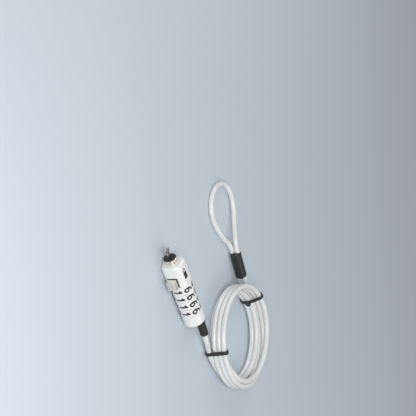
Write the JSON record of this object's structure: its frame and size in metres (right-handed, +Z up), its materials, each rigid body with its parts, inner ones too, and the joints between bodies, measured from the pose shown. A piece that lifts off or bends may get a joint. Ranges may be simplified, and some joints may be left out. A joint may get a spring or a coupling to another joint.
{
  "type": "laptop cable lock",
  "caption": "Combination cable lock for a laptop: a hooked tip for a lock slot, turning number dials, a release button and a coiled steel cable that ends in a loop.",
  "frame": {"origin": "middle of the lock's length and width, on the surface it lies on; the cable is left out", "axes": "+X along the dials' axis towards the locking tip, +Y towards the release button, +Z up"},
  "size_m": [0.1833, 0.1489, 0.0204],
  "materials": {
    "pearl_shell": "satin pearl paint",
    "nickel_trim": "soft nickel plate",
    "steel": "machined",
    "spring_steel": "drawn wire",
    "brass_parts": "machined",
    "zinc_parts": "die cast",
    "dial_plastic": "pearl white, black numbers",
    "black_rubber": "moulded",
    "cable_jacket": "clear jacket over steel strands",
    "black_plastic": "moulded"
  },
  "bodies": {
    "cable_end": {"cable_cap": "pearl_shell", "cable_ferrule": "steel", "rear_cover": "black_plastic", "strain_relief": "black_rubber", "cable_lead": "cable_jacket", "cable_coil": "cable_jacket", "cable_tail": "cable_jacket", "cable_loop": "cable_jacket", "loop_sleeve": "black_plastic", "front_tie": "black_plastic", "rear_tie": "black_plastic"},
    "lock_body": {"head_housing": "pearl_shell", "button_bezel": "black_plastic", "nose_collar": "nickel_trim", "rubber_pad": "black_rubber", "jaw_carrier": "zinc_parts", "jaw_pins": "steel", "jaw_spring": "spring_steel", "bulkhead": "zinc_parts", "bulkhead_screws": "steel", "core_tube": "brass_parts", "detent_balls": "steel", "detent_leaf": "spring_steel", "dial_washers": "black_plastic", "retaining_nut": "brass_parts", "return_spring": "spring_steel"},
    "button": {"push_button": "nickel_trim"},
    "release_spindle": {"spindle": "steel", "cam_pin": "steel"},
    "left_jaw": {"jaw_left": "steel"},
    "right_jaw": {"jaw_right": "steel"},
    "reset": {"reset_screw": "steel"},
    "number_1": {"dial_1": "dial_plastic", "code_ring_1": "brass_parts"},
    "number_2": {"dial_2": "dial_plastic", "code_ring_2": "brass_parts"},
    "number_3": {"dial_3": "dial_plastic", "code_ring_3": "brass_parts"},
    "number_4": {"dial_4": "dial_plastic", "code_ring_4": "brass_parts"}
  },
  "joints": [
    {"name": "cap_swivel", "type": "hinge", "parent": "cable_end", "child": "lock_body", "pos_m": [-0.022, -0.00082, 0.0092], "axis": [1, 0, 0], "continuous": true},
    {"name": "dial_1_turn", "type": "hinge", "parent": "lock_body", "child": "number_1", "pos_m": [0.00961, -0.00082, 0.0092], "axis": [1, 0, 0], "continuous": true},
    {"name": "dial_2_turn", "type": "hinge", "parent": "lock_body", "child": "number_2", "pos_m": [0.00204, -0.00082, 0.0092], "axis": [1, 0, 0], "continuous": true},
    {"name": "dial_3_turn", "type": "hinge", "parent": "lock_body", "child": "number_3", "pos_m": [-0.00554, -0.00082, 0.0092], "axis": [1, 0, 0], "continuous": true},
    {"name": "dial_4_turn", "type": "hinge", "parent": "lock_body", "child": "number_4", "pos_m": [-0.01311, -0.00082, 0.0092], "axis": [1, 0, 0], "continuous": true},
    {"name": "button_press", "type": "slide", "parent": "lock_body", "child": "button", "axis": [0, -1, 0], "range_m": [0, 0.0024], "stiffness_N_per_m": 400, "springref_m": -0.0015},
    {"name": "spindle_slide", "type": "slide", "parent": "lock_body", "child": "release_spindle", "axis": [1, 0, 0], "range_m": [0, 0.0024]},
    {"name": "left_jaw_pinch", "type": "hinge", "parent": "lock_body", "child": "left_jaw", "pos_m": [0.0292, 0.00158, 0.0082], "axis": [0, 0, -1], "range_deg": [0, 1.4]},
    {"name": "right_jaw_pinch", "type": "hinge", "parent": "lock_body", "child": "right_jaw", "pos_m": [0.0292, -0.00322, 0.0082], "axis": [0, 0, 1], "range_deg": [0, 1.4]},
    {"name": "reset_turn", "type": "hinge", "parent": "lock_body", "child": "reset", "pos_m": [-0.022, -0.00082, 0.0092], "axis": [1, 0, 0], "range_deg": [0, 90]}
  ],
  "couplings": [
    {"joint": "spindle_slide", "follows": "button_press", "ratio": 1},
    {"joint": "left_jaw_pinch", "follows": "button_press", "rad_per_m": 9.96},
    {"joint": "right_jaw_pinch", "follows": "button_press", "rad_per_m": 9.96}
  ]
}
